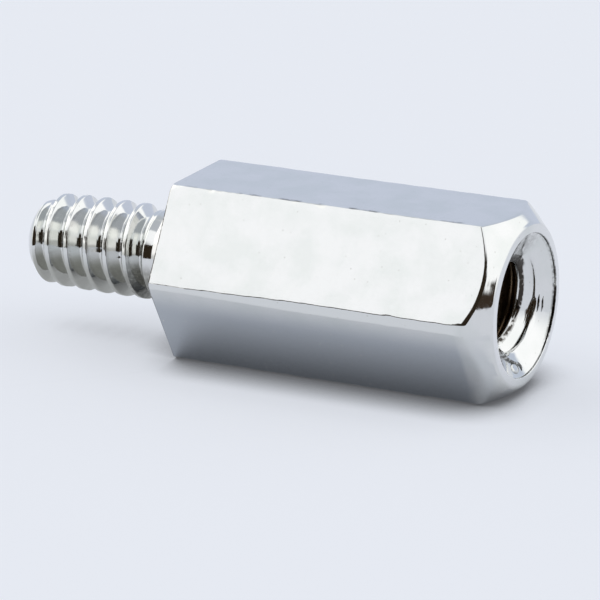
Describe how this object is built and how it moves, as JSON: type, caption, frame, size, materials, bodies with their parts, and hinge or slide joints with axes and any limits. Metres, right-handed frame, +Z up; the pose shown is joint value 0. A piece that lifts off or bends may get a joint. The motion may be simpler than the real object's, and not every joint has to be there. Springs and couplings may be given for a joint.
{
  "type": "hex standoff",
  "caption": "Male-female hex standoff turned from hex bar: a threaded stud with a plain neck at one end and a countersunk tapped hole at the other.",
  "frame": {"origin": "middle of the part's bounding box in plan, on the surface that the part lies on", "axes": "+X along the standoff's axis, out of the tapped end; +Z up, with one hex flat underneath"},
  "size_m": [0.0188, 0.0072, 0.0063],
  "materials": {
    "nickel_plate": "bright nickel plate over brass"
  },
  "bodies": {
    "root": {"standoff": "nickel_plate"}
  },
  "joints": []
}
